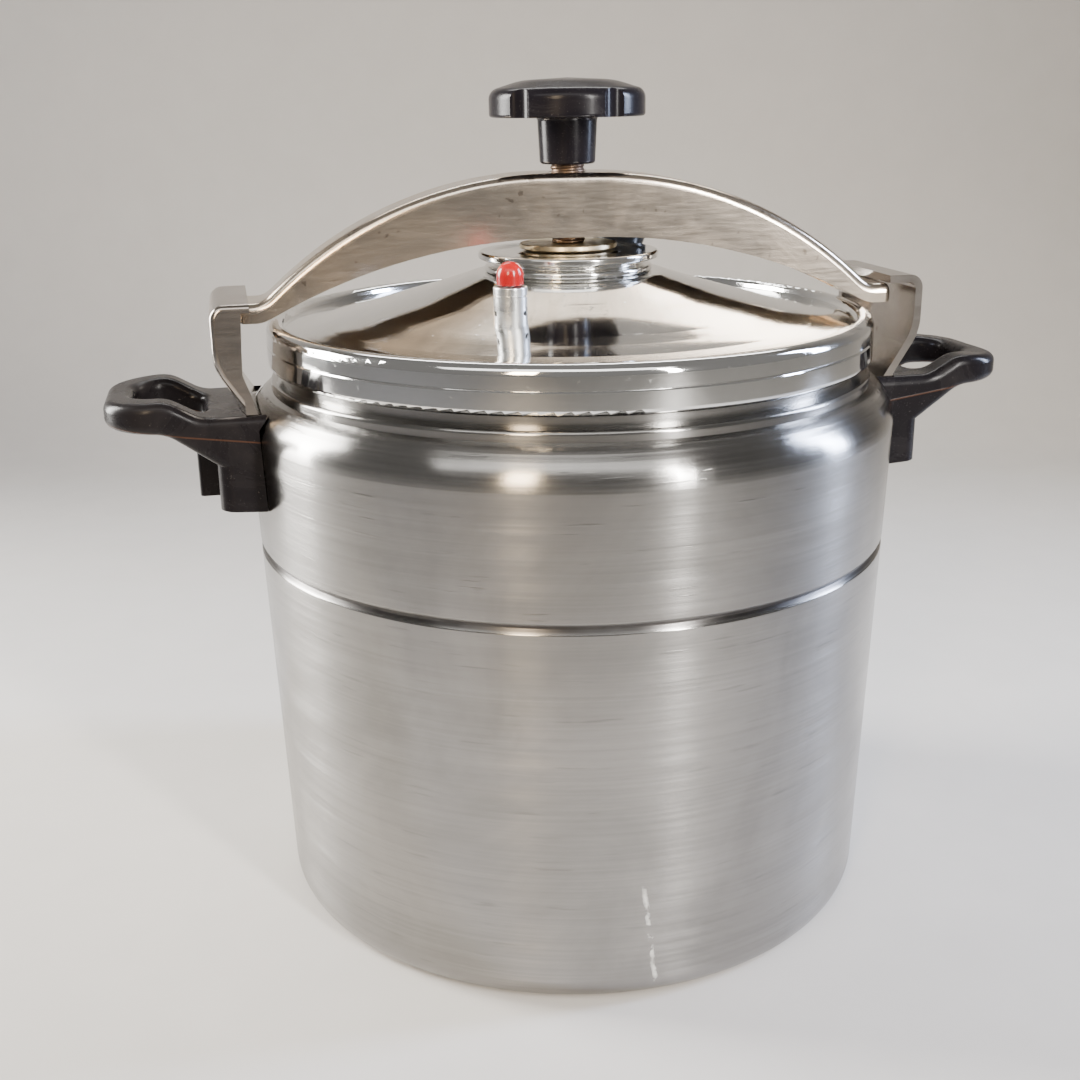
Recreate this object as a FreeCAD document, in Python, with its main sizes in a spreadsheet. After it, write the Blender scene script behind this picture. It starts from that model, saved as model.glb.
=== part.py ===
"""Stovetop pressure cooker with an outside lid, held down by a swinging bridge and a screw.

Millimetres, +Z up. The origin is the centre of the pot's flat base, the handles lie along X and
every height is counted from the surface that the pot stands on.
"""
import FreeCAD, Part
import math
import os
import re
import Sketcher
from FreeCAD import Placement, Rotation, Vector

doc = FreeCAD.newDocument("PressureCooker")

# ---------------------------------------------------------------- driving dimensions
SIZES = {
    # pot: a slightly tapered drum with a pressed fill line and a necked mouth
    "pot_base_radius": 120.8,
    "pot_taper": 0.032,
    "pot_wall": 3.0,
    "pot_floor": 5.0,
    "pot_base_round": 9.5,
    "shoulder_height": 200.8,
    "shoulder_round": 14.0,
    "collar_radius": 117.3,
    "collar_low": 209.7,
    "collar_top": 213.4,
    "mouth_outer": 112.5,
    "mouth_inner": 109.3,
    "mouth_top": 224.0,
    "line_height": 148.8,
    "line_width": 4.2,
    "line_depth": 1.3,
    # lid: a bell-shaped pressing with a deep rolled rim
    "lid_radius": 117.8,
    "lid_skirt_inner": 113.9,
    "lid_skirt_low": 217.9,
    "lid_rim_top": 234.9,
    "lid_rim_line": 226.4,
    "lid_crown": 250.2,
    "lid_crown_radius": 37.0,
    "lid_wall": 3.0,
    "gasket_seat": 228.6,
    "gasket_inner": 107.4,
    # boss in the middle of the lid
    "boss_radius": 35.0,
    "boss_top": 258.0,
    "boss_bead": 32.6,
    "boss_neck": 29.0,
    "boss_shank": 9.0,
    "boss_dimple": 7.0,
    # bridge: an inverted channel, arched over the lid
    "bridge_half_length": 127.2,
    "bridge_width": 28.0,
    "bridge_sheet": 3.0,
    "bridge_crest": 287.4,
    "bridge_top_corner": 67.9,
    "bridge_top_bend": 155.0,
    "bridge_hem": 263.8,
    "bridge_hem_corner": 63.05,
    "bridge_hem_bend": 225.0,
    "bridge_toe": 118.4,
    "bridge_end_top": 242.6,
    "bridge_end_low": 235.4,
    "bridge_turn": -5.0,
    # spindle, knob and foot
    "spindle_radius": 6.65,
    "spindle_bore": 6.7,
    "spindle_tail": 6.0,
    "journal_radius": 4.0,
    "foot_radius": 19.0,
    "foot_low": 258.1,
    "foot_top": 260.7,
    "nut_across": 21.0,
    "nut_height": 11.0,
    "knob_radius": 29.6,
    "knob_low": 307.4,
    "knob_side_top": 317.0,
    "knob_top": 321.5,
    "knob_neck_low": 290.3,
    "knob_neck_radius": 10.6,
    "knob_insert_radius": 8.0,
    # safety valve on the front of the lid
    "valve_across": 70.0,
    "valve_angle": -120.6,
    "valve_radius": 5.9,
    "valve_top": 253.0,
    "valve_chamber": 3.9,
    "valve_seat": 241.0,
    "valve_shank": 4.2,
    "stem_radius": 1.5,
    "cap_radius": 4.7,
    "cap_top": 261.4,
    # vent pipe and weight at the back of the lid
    "vent_across": 49.9,
    "vent_angle": 50.5,
    "vent_radius": 4.0,
    "vent_bore": 1.6,
    "vent_top": 262.0,
    "weight_radius": 11.2,
    "weight_low": 252.4,
    "weight_top": 276.0,
    # ears that catch the ends of the bridge
    "ear_width": 54.0,
    "ear_sheet": 3.0,
    "ear_reach": 138.0,
    "ear_roof_top": 246.0,
    "ear_roof_tip": 123.8,
    "ear_low": 172.0,
    # handles
    "handle_width": 62.0,
    "handle_reach": 178.5,
    "handle_back": 139.5,
    "handle_low": 171.0,
    "handle_round": 3.6,
    "handle_boss": 147.0,
    "handle_boss_width": 16.0,
    "hole_near": 143.0,
    "hole_far": 167.5,
    "hole_width": 34.0,
    "handle_screw_height": 181.0,
    "rivet_radius": 2.5,
    "rivet_spread": 17.0,
    "rivet_low": 178.0,
    "rivet_high": 191.0,
}

sheet = doc.addObject("Spreadsheet::Sheet", "Sizes")
for row, (alias, number) in enumerate(SIZES.items(), start=1):
    sheet.set("A%d" % row, alias)
    sheet.set("B%d" % row, str(number))
    sheet.setAlias("B%d" % row, alias)
doc.recompute()

WORD = re.compile(r"[a-z_]+[a-z]")


def number(text):
    """Value of an expression written with the sheet's aliases."""
    return float(sheet.evalExpression(str(text)))


def bound(text):
    """The same expression, as another object of the document has to write it."""
    def named(word):
        name = word.group(0)
        return "Sizes." + name if name in SIZES else name
    return WORD.sub(named, str(text))


# ---------------------------------------------------------------- document helpers
def new_body(label):
    """An empty PartDesign body that names one node."""
    body = doc.addObject("PartDesign::Body", label)
    body.Label = label
    return body


def new_sketch(body, name, role, lift=None):
    """A sketch on one of the body's own origin planes, lifted off it by an expression."""
    sketch = body.newObject("Sketcher::SketchObject", body.Name + "_" + name)
    plane = next(item for item in body.Origin.OriginFeatures if item.Role == role)
    sketch.AttachmentSupport = [(plane, "")]
    sketch.MapMode = "FlatFace"
    if lift is not None:
        sketch.setExpression("AttachmentOffset.Base.z", bound(lift))
    return sketch


def pin_point(sketch, element, position, across, up):
    """Hold a point of the sketch at two expressions."""
    for kind, text in (("DistanceX", across), ("DistanceY", up)):
        index = sketch.addConstraint(Sketcher.Constraint(kind, element, position, number(text)))
        sketch.setExpression("Constraints[%d]" % index, bound(text))


def corner_points(corners):
    """Corners of an outline, and where each one's rounding begins and ends."""
    points = [Vector(number(corner[0]), number(corner[1]), 0) for corner in corners]
    arrive = []
    leave = []
    for index, point in enumerate(points):
        back = (points[index - 1] - point).normalize()
        ahead = (points[(index + 1) % len(points)] - point).normalize()
        reach = 0.0
        if len(corners[index]) > 2:
            reach = number(corners[index][2]) / math.tan(back.getAngle(ahead) / 2)
        arrive.append(point + back * reach)
        leave.append(point + ahead * reach)
    return points, arrive, leave


def add_outline(sketch, corners):
    """A closed outline through corners (x, y) or (x, y, rounding), all written as expressions."""
    points, arrive, leave = corner_points(corners)
    lines = []
    for index in range(len(corners)):
        segment = Part.LineSegment(leave[index], arrive[(index + 1) % len(corners)])
        lines.append(sketch.addGeometry(segment, False))
    for index, corner in enumerate(corners):
        before = lines[index - 1]
        after = lines[index]
        if len(corner) > 2:
            add_rounding(sketch, corner, points[index], arrive[index], leave[index], before, after)
        else:
            sketch.addConstraint(Sketcher.Constraint("Coincident", before, 2, after, 1))
            pin_point(sketch, after, 1, corner[0], corner[1])


def add_rounding(sketch, corner, point, start, end, before, after):
    """An arc tangent to the two lines that would meet at the corner."""
    inward = (start - point) + (end - point)
    inward.normalize()
    radius = number(corner[2])
    half = (start - point).getAngle(inward)
    centre = point + inward * (radius / math.sin(half))
    middle = centre - inward * radius
    arc = sketch.addGeometry(Part.Arc(start, middle, end), False)
    turn = (start - centre).cross(end - centre).z
    first, last = (1, 2) if turn > 0 else (2, 1)
    sketch.addConstraint(Sketcher.Constraint("Tangent", before, 2, arc, first))
    sketch.addConstraint(Sketcher.Constraint("Tangent", arc, last, after, 1))
    index = sketch.addConstraint(Sketcher.Constraint("Radius", arc, radius))
    sketch.setExpression("Constraints[%d]" % index, bound(corner[2]))
    mark = sketch.addGeometry(Part.Point(point), True)
    sketch.addConstraint(Sketcher.Constraint("PointOnObject", mark, 1, before))
    sketch.addConstraint(Sketcher.Constraint("PointOnObject", mark, 1, after))
    pin_point(sketch, mark, 1, corner[0], corner[1])


def add_circle(sketch, across, up, radius):
    """A circle with its centre and radius held by expressions."""
    centre = Vector(number(across), number(up), 0)
    circle = sketch.addGeometry(Part.Circle(centre, Vector(0, 0, 1), number(radius)), False)
    index = sketch.addConstraint(Sketcher.Constraint("Radius", circle, number(radius)))
    sketch.setExpression("Constraints[%d]" % index, bound(radius))
    pin_point(sketch, circle, 3, across, up)


def turn_about_axis(body, kind, sketch, angle="360"):
    """Revolution or Groove of a sketch about the vertical axis, even on both sides of it."""
    feature = body.newObject("PartDesign::" + kind, sketch.Name + "_turned")
    feature.Profile = sketch
    feature.ReferenceAxis = (sketch, ["V_Axis"])
    feature.setExpression("Angle", bound(angle))
    feature.Midplane = True
    doc.recompute()
    return feature


def turned(body, name, corners):
    """A solid of revolution from its half section in the XZ plane."""
    sketch = new_sketch(body, name, "XZ_Plane")
    add_outline(sketch, corners)
    return turn_about_axis(body, "Revolution", sketch)


def turned_cut(body, name, corners, angle="360"):
    """Cuts a solid of revolution out of the body, and makes sure that it cut something."""
    sketch = new_sketch(body, name, "XZ_Plane")
    add_outline(sketch, corners)
    before = body.Shape.Volume
    feature = turn_about_axis(body, "Groove", sketch, angle)
    check_cut(body, before, feature)
    return feature


def padded(body, sketch, length, midplane=False, reverse=False):
    """Pad of a sketch."""
    feature = body.newObject("PartDesign::Pad", sketch.Name + "_pad")
    feature.Profile = sketch
    feature.setExpression("Length", bound(length))
    feature.Midplane = midplane
    feature.Reversed = reverse
    doc.recompute()
    return feature


def pocketed(body, sketch, length, midplane=False, reverse=False):
    """Pocket of a sketch, which has to remove material."""
    before = body.Shape.Volume
    feature = body.newObject("PartDesign::Pocket", sketch.Name + "_pocket")
    feature.Profile = sketch
    feature.setExpression("Length", bound(length))
    feature.Midplane = midplane
    feature.Reversed = reverse
    doc.recompute()
    check_cut(body, before, feature)
    return feature


def check_cut(body, before, feature):
    """Stop when a cut left the body's volume as it was."""
    if before - body.Shape.Volume < 0.01:
        raise RuntimeError(feature.Name + " cuts nothing")


def rounded(body, name, radius, wanted):
    """Fillet of the edges of the body's present shape that the test picks."""
    base = body.Tip
    names = ["Edge%d" % (index + 1) for index, edge in enumerate(base.Shape.Edges) if wanted(edge)]
    if not names:
        raise RuntimeError(body.Label + ": no edge to round for " + name)
    feature = body.newObject("PartDesign::Fillet", body.Name + "_" + name)
    feature.Base = (base, names)
    feature.Refine = False
    feature.setExpression("Radius", bound(radius))
    doc.recompute()
    if not feature.Shape.isValid():
        raise RuntimeError(feature.Name + " is not a valid shape")
    return feature


def place(node, turn="0", along="0", angle="0"):
    """Turn a node about the vertical axis and move it out along a bearing."""
    node.Placement = Placement(Vector(0, 0, 0), Rotation(Vector(0, 0, 1), number(turn)))
    node.setExpression("Placement.Rotation.Angle", bound(turn))
    if number(along):
        node.setExpression("Placement.Base.x", bound("(%s) * cos((%s) * 1deg)" % (along, angle)))
        node.setExpression("Placement.Base.y", bound("(%s) * sin((%s) * 1deg)" % (along, angle)))


def wall_at(height):
    """Outside radius of the pot's tapered wall at a height."""
    return "pot_base_radius + pot_taper * (%s)" % height


def flat_face(corners):
    """Face in the XY plane inside a closed outline with rounded corners."""
    points, arrive, leave = corner_points(corners)
    edges = []
    for index, point in enumerate(points):
        start = arrive[index]
        end = leave[index]
        if (end - start).Length > 1e-6:
            inward = ((start - point) + (end - point)).normalize()
            half = (start - point).getAngle(inward)
            radius = number(corners[index][2])
            middle = point + inward * (radius / math.sin(half) - radius)
            edges.append(Part.Arc(start, middle, end).toShape())
        edges.append(Part.LineSegment(end, arrive[(index + 1) % len(points)]).toShape())
    return Part.Face(Part.Wire(Part.sortEdges(edges)[0]))


def side_solid(corners, width):
    """Solid with an outline in the XZ plane, even about y = 0."""
    face = flat_face(corners)
    face.rotate(Vector(0, 0, 0), Vector(1, 0, 0), 90)
    face.translate(Vector(0, number(width) / 2, 0))
    return face.extrude(Vector(0, -number(width), 0))


def plan_solid(corners, low, high):
    """Upright solid over an outline in the XY plane."""
    face = flat_face(corners)
    face.translate(Vector(0, 0, number(low)))
    return face.extrude(Vector(0, 0, number(high) - number(low)))


def ring_solid(corners, angle):
    """Solid of revolution about the vertical axis, even about y = 0 on the +X side."""
    face = flat_face(corners)
    face.rotate(Vector(0, 0, 0), Vector(1, 0, 0), 90)
    ring = face.revolve(Vector(0, 0, 0), Vector(0, 0, 1), angle)
    ring.rotate(Vector(0, 0, 0), Vector(0, 0, 1), -angle / 2)
    return ring


# ---------------------------------------------------------------- pot
def make_pot():
    """The drum: base, tapered wall with the fill line pressed into it, shoulder, collar and mouth."""
    body = new_body("pot_body")
    line_low = "line_height - line_width / 2"
    line_top = "line_height + line_width / 2"
    inner = "%s - pot_wall" % wall_at("shoulder_height")
    turned(body, "section", [
        ("0", "0"),
        (wall_at("0"), "0", "pot_base_round"),
        (wall_at(line_low), line_low, "0.8"),
        ("%s - line_depth" % wall_at("line_height"), "line_height", "0.6"),
        (wall_at(line_top), line_top, "0.8"),
        (wall_at("shoulder_height"), "shoulder_height", "shoulder_round"),
        ("collar_radius + 3.5", "collar_low - 1.5", "7"),
        ("collar_radius", "collar_low"),
        ("collar_radius", "collar_top", "1.4"),
        ("mouth_outer", "collar_top"),
        ("mouth_outer", "mouth_top", "0.8"),
        ("mouth_inner", "mouth_top", "0.8"),
        ("mouth_inner", "collar_low - 3", "2"),
        (inner, "shoulder_height - 1.5", "11"),
        ("%s - pot_wall" % wall_at("pot_floor"), "pot_floor", "pot_base_round - pot_wall"),
        ("0", "pot_floor"),
    ])
    holes = new_sketch(body, "rivet_holes", "YZ_Plane")
    for side in ("-", ""):
        for height in ("rivet_low", "rivet_high"):
            add_circle(holes, side + "rivet_spread", height, "rivet_radius")
    pocketed(body, holes, "3 * pot_base_radius", midplane=True)
    return body


# ---------------------------------------------------------------- lid
DOME = [
    ("lid_crown_radius + 21", "lid_crown - 6.7", "150"),
    ("lid_crown_radius + 47", "lid_crown - 13.9", "120"),
    ("lid_crown_radius + 64.5", "lid_crown - 17.6", "60"),
]


def dome_outside():
    """Top of the lid from the crown to the crease inside the rim."""
    return [("0", "lid_crown"), ("lid_crown_radius", "lid_crown", "9")] + DOME


def make_lid():
    """Bell-shaped lid with a rolled rim, holes for the boss, the vent and the safety valve."""
    body = new_body("lid")
    crease = ("lid_skirt_inner - 3.3", "lid_rim_top - 2.7")
    rim = [
        crease,
        ("lid_skirt_inner - 2.3", "lid_rim_top", "2.2"),
        ("lid_radius", "lid_rim_top", "3.6"),
        ("lid_radius", "lid_rim_line + 0.5"),
        ("lid_radius - 0.4", "lid_rim_line"),
        ("lid_radius", "lid_rim_line - 0.5"),
        ("lid_radius", "lid_skirt_low", "2.2"),
        ("lid_skirt_inner", "lid_skirt_low", "0.8"),
        ("lid_skirt_inner", "gasket_seat"),
        ("gasket_inner - 0.2", "gasket_seat"),
        ("gasket_inner - 0.2", "gasket_seat - 2.6", "0.5"),
        ("gasket_inner - 2", "gasket_seat - 2.6", "0.5"),
        ("gasket_inner - 2", "gasket_seat + 0.6", "1"),
    ]
    under = [(across, "(%s) - lid_wall" % up, bend) for across, up, bend in reversed(DOME)]
    crown = [("lid_crown_radius", "lid_crown - lid_wall", "9"), ("0", "lid_crown - lid_wall")]
    turned(body, "section", dome_outside() + rim + under + crown)
    holes = new_sketch(body, "holes", "XY_Plane", "lid_rim_top - 15")
    add_circle(holes, "0", "0", "boss_shank")
    for across, angle, radius in (
        ("valve_across", "valve_angle", "valve_shank"),
        ("vent_across", "vent_angle", "vent_radius"),
    ):
        place_x = "%s * cos(%s * 1deg)" % (across, angle)
        place_y = "%s * sin(%s * 1deg)" % (across, angle)
        add_circle(holes, place_x, place_y, radius)
    pocketed(body, holes, "60", reverse=True)
    return body


def make_gasket():
    """Rubber ring in the lid's seat, resting on the pot's mouth."""
    body = new_body("lid_gasket")
    turned(body, "section", [
        ("gasket_inner", "mouth_top + 0.05", "1"),
        ("lid_skirt_inner - 0.3", "mouth_top + 0.05", "1"),
        ("lid_skirt_inner - 0.3", "gasket_seat - 0.05", "0.6"),
        ("gasket_inner", "gasket_seat - 0.05", "0.6"),
    ])
    return body


def make_boss():
    """Turned disc on the crown: bead, undercut neck and the plate that the foot presses on."""
    body = new_body("lid_boss")
    turned(body, "section", [
        ("0", "lid_crown - lid_wall - 4"),
        ("boss_shank", "lid_crown - lid_wall - 4"),
        ("boss_shank", "lid_crown"),
        ("boss_bead", "lid_crown", "1"),
        ("boss_bead", "lid_crown + 2.4", "1"),
        ("boss_neck", "lid_crown + 3", "0.5"),
        ("boss_neck", "boss_top - 3.6", "0.5"),
        ("boss_radius", "boss_top - 2.6", "0.7"),
        ("boss_radius", "boss_top", "0.9"),
        ("boss_radius - 5", "boss_top"),
        ("boss_radius - 6.5", "boss_top - 0.6"),
        ("boss_dimple + 14", "boss_top - 0.6"),
        ("boss_dimple + 12.5", "boss_top"),
        ("boss_dimple", "boss_top"),
        ("boss_dimple - 0.5", "boss_top - 1.6"),
        ("0", "boss_top - 1.6"),
    ])
    return body


def make_boss_nut():
    """Round nut that holds the boss from inside the lid."""
    body = new_body("lid_boss_nut")
    top = "lid_crown - lid_wall"
    turned(body, "section", [
        ("boss_shank", "%s - 4" % top),
        ("boss_shank + 5", "%s - 4" % top, "1"),
        ("boss_shank + 5", top),
        ("boss_shank", top),
    ])
    return body


# ---------------------------------------------------------------- bridge
def mirrored(corners):
    """The corners of the other half of an outline that is even about x = 0."""
    return [("-(%s)" % corner[0],) + corner[1:] for corner in reversed(corners)]


def bridge_outline():
    """Side view of the bridge: arched top, straight toes and a flatter arch along its lower edge."""
    right = [
        ("bridge_top_corner", "bridge_crest", "bridge_top_bend"),
        ("bridge_toe", "bridge_end_top", "9"),
        ("bridge_half_length", "bridge_end_top"),
        ("bridge_half_length", "bridge_end_low"),
        ("bridge_toe - 0.6", "bridge_end_low", "12"),
        ("bridge_hem_corner", "bridge_hem", "bridge_hem_bend"),
    ]
    return right + mirrored(right)


def make_bridge():
    """Inverted channel bent over the lid, with closed toes that slip under the ears."""
    body = new_body("bridge")
    side = new_sketch(body, "side", "XZ_Plane")
    add_outline(side, bridge_outline())
    padded(body, side, "bridge_width", midplane=True)
    half = number("bridge_width / 2")
    tip = number("bridge_half_length")
    crest = number("bridge_crest")
    low = number("bridge_end_top") - 0.01

    def is_top_edge(edge):
        """Long edges where the top bends into the two flanges."""
        box = edge.BoundBox
        on_side = abs(abs(box.YMin) - half) < 0.01 and abs(box.YMax - box.YMin) < 0.01
        middle = edge.valueAt((edge.FirstParameter + edge.LastParameter) / 2)
        above = middle.z > hem_height(abs(middle.x)) + 4.2 and box.ZMax <= crest + 0.01
        return on_side and above and box.ZMin > low

    def is_toe_edge(edge):
        """Edges around the flat ends of the two toes."""
        box = edge.BoundBox
        return abs(abs(box.XMin) - tip) < 0.01 and box.XMax - box.XMin < 0.01

    rounded(body, "bend", "3.6", is_top_edge)
    rounded(body, "toes", "2.2", is_toe_edge)
    hollow = new_sketch(body, "hollow", "XZ_Plane")
    drop = "bridge_crest - bridge_sheet"
    bend = "bridge_top_bend - bridge_sheet"
    right = [
        ("bridge_top_corner - 1.1", drop, bend),
        ("bridge_toe - 6.5", "bridge_end_top + 1.0", "3"),
        ("bridge_toe - 6.5", "bridge_end_low - 5"),
    ]
    add_outline(hollow, right + mirrored(right))
    pocketed(body, hollow, "bridge_width - 2 * bridge_sheet", midplane=True)
    bore = new_sketch(body, "bore", "XY_Plane", "bridge_crest + 10")
    add_circle(bore, "0", "0", "spindle_bore + 0.6")
    pocketed(body, bore, "30")
    place(body, "bridge_turn")
    return body


def hem_height(across):
    """Height of the bridge's lower edge at a distance from its middle."""
    flat = number("bridge_hem_corner") - number("bridge_hem_bend") * math.tan(math.radians(13.75))
    bend = number("bridge_hem_bend")
    past = max(0.0, across - flat)
    arc = number("bridge_hem") - (bend - math.sqrt(bend * bend - past * past))
    return max(arc, number("bridge_end_low"))


def make_bridge_nut():
    """Hexagon nut welded under the crest, carrying the spindle's thread."""
    body = new_body("bridge_nut")
    top = "bridge_crest - bridge_sheet - 0.08"
    sketch = new_sketch(body, "hexagon", "XY_Plane", "%s - nut_height" % top)
    points = []
    for step in range(6):
        bearing = "(%d * 1deg)" % (60 * step)
        points.append(("nut_across / sqrt(3) * cos" + bearing, "nut_across / sqrt(3) * sin" + bearing))
    add_outline(sketch, points)
    add_circle(sketch, "0", "0", "spindle_bore")
    padded(body, sketch, "nut_height")
    place(body, "bridge_turn")
    return body


# ---------------------------------------------------------------- spindle, foot and knob
def make_spindle():
    """Screw spindle: peened tip under the foot, journal, threaded shank and the tail in the knob."""
    body = new_body("spindle")
    turned(body, "section", [
        ("0", "foot_low - 1.3"),
        ("journal_radius + 1.2", "foot_low - 1.3", "0.5"),
        ("journal_radius + 1.2", "foot_low - 0.1"),
        ("journal_radius", "foot_low - 0.1"),
        ("journal_radius", "foot_top + 0.1"),
        ("spindle_radius - 0.6", "foot_top + 0.1"),
        ("spindle_radius", "foot_top + 0.7"),
        ("spindle_radius", "knob_neck_low - 0.6"),
        ("spindle_tail", "knob_neck_low"),
        ("spindle_tail", "knob_low - 3"),
        ("0", "knob_low - 3"),
    ])
    return body


def make_foot():
    """Dished pressure plate that turns freely on the spindle's journal."""
    body = new_body("pressure_foot")
    turned(body, "section", [
        ("journal_radius + 0.06", "foot_low"),
        ("foot_radius - 3", "foot_low", "3"),
        ("foot_radius", "foot_low + 1.0", "0.5"),
        ("foot_radius - 0.3", "foot_top + 0.2", "0.5"),
        ("foot_radius - 3.6", "foot_top", "3"),
        ("journal_radius + 0.06", "foot_top"),
    ])
    recess = [
        ("0", "foot_low - 2"),
        ("journal_radius + 1.6", "foot_low - 2"),
        ("journal_radius + 1.6", "foot_low + 0.01"),
        ("0", "foot_low + 0.01"),
    ]
    turned_cut(body, "recess", recess)
    return body


def make_knob():
    """Moulded knob: round head with five shallow flutes, a low crown and a tapered neck."""
    body = new_body("knob")
    turned(body, "section", [
        ("spindle_tail", "knob_neck_low"),
        ("knob_neck_radius", "knob_neck_low", "1.2"),
        ("knob_neck_radius + 0.8", "knob_low", "1.5"),
        ("knob_radius", "knob_low", "1.2"),
        ("knob_radius", "knob_side_top", "4.2"),
        ("knob_radius - 12", "knob_top - 0.9", "30"),
        ("0", "knob_top"),
        ("0", "knob_low - 1"),
        ("knob_insert_radius", "knob_low - 1"),
        ("knob_insert_radius", "knob_neck_low + 2"),
        ("spindle_tail", "knob_neck_low + 2"),
    ])
    flute = new_sketch(body, "flute", "XY_Plane", "knob_low - 5")
    away = "(knob_radius + 4.6)"
    add_circle(flute, away + " * cos(-68 * 1deg)", away + " * sin(-68 * 1deg)", "6.6")
    first = pocketed(body, flute, "40", reverse=True)
    pattern = body.newObject("PartDesign::PolarPattern", "knob_flutes")
    pattern.Originals = [first]
    pattern.Axis = (flute, ["N_Axis"])
    pattern.Angle = 360
    pattern.Occurrences = 5
    body.Tip = pattern
    doc.recompute()
    return body


def make_knob_insert():
    """Brass bush moulded into the knob, pinned to the spindle's tail."""
    body = new_body("knob_insert")
    turned(body, "section", [
        ("spindle_tail", "knob_neck_low + 2"),
        ("knob_insert_radius", "knob_neck_low + 2"),
        ("knob_insert_radius", "knob_low - 1"),
        ("0", "knob_low - 1"),
        ("0", "knob_low - 3"),
        ("spindle_tail", "knob_low - 3"),
    ])
    return body


# ---------------------------------------------------------------- safety valve
def seated(label, blank, tool, across, angle, loose=None):
    """Node made of a blank on a vertical axis, fitted to the sloping lid, and an optional part below it."""
    solid = max(blank.cut(moved_back(tool, across, angle)).Solids, key=lambda piece: piece.Volume)
    if loose is not None:
        solid = solid.fuse(loose).removeSplitter()
    node = doc.addObject("Part::Feature", label)
    node.Label = label
    node.Shape = solid
    place(node, "0", across, angle)
    return node


def moved_back(shape, across, angle):
    """The shape as seen from an axis that stands out from the middle on a bearing."""
    moved = shape.copy()
    bearing = math.radians(number(angle))
    reach = number(across)
    moved.translate(Vector(-reach * math.cos(bearing), -reach * math.sin(bearing), 0))
    return moved


def under_dome():
    """Everything below the lid's outside."""
    edge = [("lid_skirt_inner - 3.3", "lid_rim_top - 2.7"), ("lid_skirt_inner - 3.3", "lid_crown - 60")]
    return ring_solid(dome_outside() + edge + [("0", "lid_crown - 60")], 360)


def make_valve_body():
    """Turned barrel that follows the dome under it, with a spring chamber and two vent holes."""
    barrel = ring_solid([
        ("stem_radius + 0.06", "valve_seat - 6"),
        ("valve_radius", "valve_seat - 6"),
        ("valve_radius", "valve_top - 3.4"),
        ("valve_radius - 0.35", "valve_top - 3.1"),
        ("valve_radius", "valve_top - 2.8"),
        ("valve_radius", "valve_top", "0.6"),
        ("stem_radius + 0.06", "valve_top"),
    ], 360)
    shank = ring_solid([
        ("1.4", "lid_crown - 24"),
        ("valve_shank", "lid_crown - 24"),
        ("valve_shank", "valve_seat + 2.2"),
        ("1.4", "valve_seat + 2.2"),
    ], 360)
    chamber = Part.makeCylinder(number("valve_chamber"), number("valve_top - 1.5 - valve_seat"),
                                Vector(0, 0, number("valve_seat")))
    node = seated("safety_valve_body", barrel, under_dome(), "valve_across", "valve_angle", shank)
    solid = node.Shape.copy()
    solid.Placement = Placement()
    solid = solid.cut(chamber)
    for lean in (-60, 60):
        bearing = math.radians(-104 + lean)
        start = Vector(0, 0, number("valve_seat + 3"))
        outward = Vector(math.cos(bearing), math.sin(bearing), 0)
        solid = solid.cut(Part.makeCylinder(0.9, 12, start, outward))
    node.Shape = solid
    place(node, "0", "valve_across", "valve_angle")
    return node


def make_valve_nut():
    """Nut on the barrel's shank, inside the lid."""
    body = new_body("safety_valve_nut")
    turned(body, "section", [
        ("valve_shank", "lid_crown - 23.5"),
        ("valve_shank + 3.4", "lid_crown - 23.5", "0.5"),
        ("valve_shank + 3.4", "lid_crown - 19"),
        ("valve_shank", "lid_crown - 19"),
    ])
    place(body, "0", "valve_across", "valve_angle")
    return body


def make_valve_washer():
    """Rubber washer between the nut and the underside of the lid."""
    blank = ring_solid([
        ("valve_shank", "lid_crown - 19"),
        ("valve_shank + 2.6", "lid_crown - 19", "0.4"),
        ("valve_shank + 2.6", "lid_crown - 9.8"),
        ("valve_shank", "lid_crown - 9.8"),
    ], 360)
    return seated("safety_valve_washer", blank, lid.Shape, "valve_across", "valve_angle")


def make_valve_stem():
    """Pin through the barrel, with the collar that the spring bears on."""
    body = new_body("safety_valve_stem")
    turned(body, "section", [
        ("0", "valve_seat + 1.1"),
        ("valve_chamber - 0.5", "valve_seat + 1.1"),
        ("valve_chamber - 0.5", "valve_seat + 2.2"),
        ("stem_radius", "valve_seat + 2.2"),
        ("stem_radius", "cap_top - 3"),
        ("0", "cap_top - 3"),
    ])
    place(body, "0", "valve_across", "valve_angle")
    return body


def make_valve_seal():
    """Soft disc that closes the port until the pressure lifts it."""
    body = new_body("safety_valve_seal")
    turned(body, "section", [
        ("0", "valve_seat + 0.05"),
        ("valve_chamber - 0.7", "valve_seat + 0.05"),
        ("valve_chamber - 0.7", "valve_seat + 1.1"),
        ("0", "valve_seat + 1.1"),
    ])
    place(body, "0", "valve_across", "valve_angle")
    return body


def make_valve_cap():
    """Red dome pressed on the top of the pin."""
    body = new_body("safety_valve_cap")
    turned(body, "section", [
        ("stem_radius", "valve_top + 0.35"),
        ("cap_radius", "valve_top + 0.35", "0.5"),
        ("cap_radius", "cap_top", "cap_radius - 0.05"),
        ("0", "cap_top"),
        ("0", "cap_top - 3"),
        ("stem_radius", "cap_top - 3"),
    ])
    place(body, "0", "valve_across", "valve_angle")
    return body


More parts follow.
